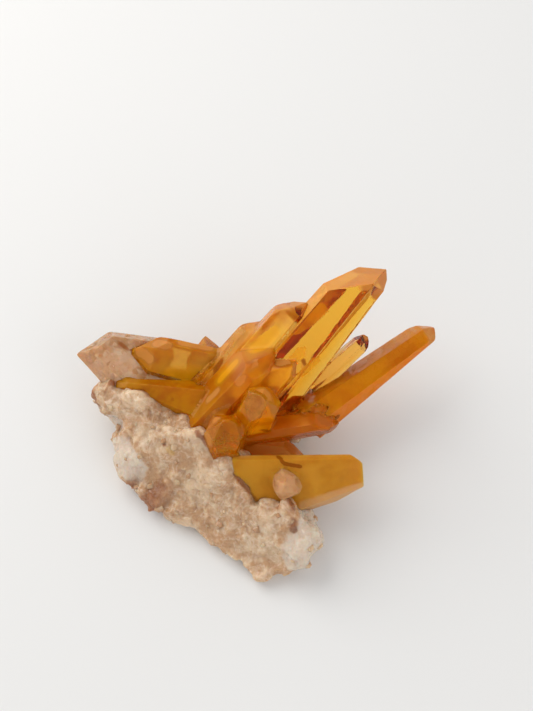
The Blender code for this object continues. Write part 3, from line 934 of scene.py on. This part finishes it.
trees = [solid_tree(node) for node in GROWN]
lump_numbers = {"clear": [], "rust": [], "yellow": [], "druse": []}
normals = [vertex.normal.copy() for vertex in lump_mesh.vertices]
for vertex, normal in zip(lump_mesh.vertices, normals):
    point = vertex.co / MM
    hit = nearest_crystal(point, trees, FREE_FROM * 2.0)
    distance = hit[3] if hit else FREE_FROM * 2.0
    free = held((distance - DRAWN_FROM) / (FREE_FROM - DRAWN_FROM))
    foot = held(point.z / FOOT_HEIGHT)
    moved = point + normal * grain_height(point) * free * foot
    if hit and free < 1.0:
        seam = hit[0] - hit[1] * OVERLAP
        moved = seam.lerp(moved, free) if foot > 0.0 else moved
    moved.z = max(0.0, moved.z)
    vertex.co = moved * MM
    crept = crept_rust(point, distance, SEAM_RUST)
    lump_numbers["rust"].append(max(marked(point, LUMP_RUST, "matrix"), crept))
    lump_numbers["clear"].append(marked(point, LUMP_CLEAR, "matrix"))
    lump_numbers["yellow"].append(marked(point, LUMP_YELLOW, "matrix"))
    lump_numbers["druse"].append(druse_at(point, distance))
for attribute, values in lump_numbers.items():
    paint(lump_mesh, attribute, values)
print("small points may stand on", sum(value > 0.0 for value in lump_numbers["druse"]), "points")

# %% [markdown]
# Milky quartz is waxy, pinkish and cream, with pale veins, clear as ice in places and stained
# brown along its rims. Light enters it and comes out near by, which Subsurface does. A dense
# volume would be truer, but takes far longer to come out clean. Some chips are smoother than
# others and glint, and those too small for the mesh slope each their own way in the bump.

# %% Its finish
PINK = srgb(190, 148, 108)
CREAM = srgb(214, 184, 150)
ICE = srgb(246, 226, 204)
RIM = srgb(174, 120, 72)
STAIN = srgb(142, 80, 36)
YELLOW = srgb(205, 165, 85)


def lump_finish(name):
    finish = Finish(name)
    large = finish.noise(5.0, 4.0, 0.55)
    small = finish.noise(0.9, 3.0)
    fine = finish.noise(0.22, 2.0)
    ridge = finish.noise(2.4, 3.0, 0.5, distortion=0.8) - 0.5
    stained = finish.painted("rust")
    flecked = stained + (small - 0.5) * 0.7 + (fine - 0.5) * 0.25
    clear = finish.between(finish.painted("clear") + (small - 0.5) * 0.6, 0.35, 0.65)
    rust = finish.between(flecked, 0.36, 0.86)
    tea = finish.between(stained + (large - 0.5) * 0.8, 0.12, 0.75)
    vein = 1.0 - finish.between(ridge.highest(ridge * -1.0), 0.0, 0.035)
    yellow = finish.between(finish.painted("yellow") + (small - 0.5) * 0.4, 0.3, 0.7)

    body = finish.mix(PINK, CREAM, finish.between(large + (small - 0.5) * 0.5, 0.40, 0.62))
    body = finish.mix(body, ICE, (clear * 0.85).highest(vein * 0.3))
    body = finish.mix(body, YELLOW, yellow * 0.5)
    body = finish.mix(body, RIM, tea * 0.45)
    body = finish.mix(body, STAIN, rust * 0.75)
    slopes = small * 0.05 + finish.tilted(0.6) * 0.5 + finish.tilted(0.28) * 0.3 + fine * 0.01
    rough = finish.bump(slopes, 1.0)
    glints = finish.between(finish.shades(0.45), 0.62, 0.66)

    waxy = finish.surface({
        "Base Color": body, "Roughness": 0.42 - glints * 0.30, "IOR": QUARTZ_IOR,
        "Subsurface Weight": 0.7, "Subsurface Radius": (1.0, 0.72, 0.52),
        "Subsurface Scale": 2.5 * MM, "Normal": rough,
    })
    glassy = finish.surface({
        "Base Color": (1.0, 1.0, 1.0), "Roughness": 0.18, "IOR": QUARTZ_IOR,
        "Transmission Weight": 1.0, "Normal": rough,
    })
    absorb(finish, (0.99, 0.95, 0.88), 60.0)
    return finish.show(mixed(finish, waxy, glassy, clear * 0.24))


MILKY = lump_finish("milky quartz")
lump_mesh.materials.append(MILKY)
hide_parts("matrix")
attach(lump, "root")
print("the lump is finished with", len(MILKY.node_tree.nodes), "nodes")

# %% [markdown]
# Small points of quartz stand in patches on the broken lump and make it glitter. Each is a
# six-sided prism with a six-sided roof, like the large crystals, and most of it is sunk in. A
# cone comes close, but its tip is centred, and a real one's roof is lopsided.

# %% One small point
SIDES = 6
RINGS = ((-0.8, 0.52), (-0.06, 0.48))         # height and radius, in mm
PEAK = (0.14, 0.06, 0.34)


def quartz_point(name):
    """A stubby crystal 1 mm across, sunk so that little more than its roof stands out."""
    work = bmesh.new()
    rings = []
    for height, radius in RINGS:
        turns = [math.tau * side / SIDES for side in range(SIDES)]
        places = [(radius * math.cos(turn), radius * math.sin(turn), height) for turn in turns]
        rings.append([work.verts.new([length * MM for length in place]) for place in places])
    low, high = rings
    top = work.verts.new([length * MM for length in PEAK])
    for side in range(SIDES):
        following = (side + 1) % SIDES
        work.faces.new((low[side], low[following], high[following], high[side]))
        work.faces.new((high[side], high[following], top))
    work.faces.new(list(reversed(low)))
    return finish_mesh(name, work, 5.0)


point_shape = bpy.data.objects.new("one_point", quartz_point("one_point"))
print("one small point has", len(point_shape.data.polygons), "faces")

# %% [markdown]
# The points are far too many to place by hand, and they follow the lump's surface. A particle
# system could spread them, but Geometry Nodes shows each step: spots on the lump with a least
# distance between them, as dense as the lump's own number says, and one small crystal on each,
# turned and leaning a little.

# %% The crust's node tree
MOST_POINTS = 2.0e6        # to the square metre, before the least distance thins them


def crust_tree():
    tree = bpy.data.node_groups.new("crust of small points", "GeometryNodeTree")
    kinds = {
        "Lump": "Geometry", "Point": "Object", "Finish": "Material", "Least distance": "Float",
        "Smallest": "Float", "Largest": "Float", "Lean": "Float", "Seed": "Int",
    }
    for name, kind in kinds.items():
        tree.interface.new_socket(name, in_out="INPUT", socket_type="NodeSocket" + kind)
    tree.interface.new_socket("Crust", in_out="OUTPUT", socket_type="NodeSocketGeometry")
    given = tree.nodes.new("NodeGroupInput").outputs
    result = tree.nodes.new("NodeGroupOutput")

    def add(kind, settings, inputs):
        return new_node(tree, kind, settings, inputs)

    dense = add("GeometryNodeInputNamedAttribute", {"data_type": "FLOAT"}, {"Name": "druse"})
    spots = add("GeometryNodeDistributePointsOnFaces", {"distribute_method": "POISSON"}, {
        "Mesh": given["Lump"], "Distance Min": given["Least distance"], "Density Max": MOST_POINTS,
        "Density Factor": dense.outputs["Attribute"], "Seed": given["Seed"],
    })
    size = add("FunctionNodeRandomValue", {"data_type": "FLOAT"}, {
        2: given["Smallest"], 3: given["Largest"], "Seed": given["Seed"],
    })
    least = add("ShaderNodeMath", {"operation": "MULTIPLY"}, {0: given["Lean"], 1: -1.0})
    lowest = add("ShaderNodeCombineXYZ", {}, {
        "X": least.outputs[0], "Y": least.outputs[0], "Z": -math.pi,
    })
    highest = add("ShaderNodeCombineXYZ", {}, {
        "X": given["Lean"], "Y": given["Lean"], "Z": math.pi,
    })
    lean = add("FunctionNodeRandomValue", {"data_type": "FLOAT_VECTOR"}, {
        0: lowest.outputs[0], 1: highest.outputs[0], "Seed": given["Seed"],
    })
    leaning = add("FunctionNodeEulerToRotation", {}, {0: lean.outputs[0]})
    turned = add("FunctionNodeRotateRotation", {"rotation_space": "LOCAL"}, {
        0: spots.outputs["Rotation"], 1: leaning.outputs[0],
    })
    point = add("GeometryNodeObjectInfo", {}, {"Object": given["Point"], "As Instance": True})
    placed = add("GeometryNodeInstanceOnPoints", {}, {
        "Points": spots.outputs["Points"], "Instance": point.outputs["Geometry"],
        "Rotation": turned.outputs[0], "Scale": size.outputs[1],
    })
    real = add("GeometryNodeRealizeInstances", {}, {0: placed.outputs[0]})
    coloured = add("GeometryNodeSetMaterial", {}, {
        "Geometry": real.outputs[0], "Material": given["Finish"],
    })
    tree.links.new(coloured.outputs[0], result.inputs[0])
    return tree


CRUST_TREE = crust_tree()
print("the crust's tree has", len(CRUST_TREE.nodes), "nodes")

# %% [markdown]
# The small points are of the lump's own quartz, but clearer and smoother, so they flash. In the
# lump's finish they would drown. One of their own, smoother and a fifth clear, sets them off.

# %% The crust's finish
DUSKY = srgb(192, 148, 108)
BRIGHT = srgb(218, 188, 152)


def crust_finish(name):
    finish = Finish(name)
    patches = finish.noise(4.0, 3.0)
    body = finish.mix(DUSKY, BRIGHT, finish.between(patches, 0.4, 0.6))
    relief = finish.bump(finish.noise(0.15, 2.0) * 0.01, 1.0)
    waxy = finish.surface({
        "Base Color": body, "Roughness": 0.22, "IOR": QUARTZ_IOR, "Subsurface Weight": 0.6,
        "Subsurface Radius": (1.0, 0.72, 0.55), "Subsurface Scale": 1.0 * MM, "Normal": relief,
    })
    glassy = finish.surface({
        "Base Color": (1.0, 1.0, 1.0), "Roughness": 0.05, "IOR": QUARTZ_IOR,
        "Transmission Weight": 1.0, "Normal": relief,
    })
    return finish.show(mixed(finish, waxy, glassy, 0.2))


GLITTER = crust_finish("glittering quartz")
print("the crust is finished with", len(GLITTER.node_tree.nodes), "nodes")

# %% [markdown]
# On the real lump the points stand a few millimetres apart, are half a millimetre to one and a
# half across, and lean every way. Those are the inputs of the node tree. It could stay a live
# modifier, but its result is taken as a plain mesh and the modifier goes.

# %% Grow the crust
CRUST = {
    "Point": point_shape, "Finish": GLITTER, "Least distance": 2.3 * MM,
    "Smallest": 0.5, "Largest": 1.5, "Lean": 0.8, "Seed": 4,
}
crust = bpy.data.objects.new("crust", lump_mesh.copy())
bpy.context.scene.collection.objects.link(crust)
grow = crust.modifiers.new("grow crust", "NODES")
grow.node_group = CRUST_TREE
sockets = {item.name: item.identifier for item in CRUST_TREE.interface.items_tree}
for name, value in CRUST.items():
    grow[sockets[name]] = value
crust_mesh = evaluated_copy(crust, "crust")
crust.modifiers.clear()
crust.data = crust_mesh
crust_mesh.materials.clear()
crust_mesh.materials.append(GLITTER)
bpy.data.objects.remove(point_shape)
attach(crust, "root")
print("the crust has", len(crust_mesh.polygons), "faces")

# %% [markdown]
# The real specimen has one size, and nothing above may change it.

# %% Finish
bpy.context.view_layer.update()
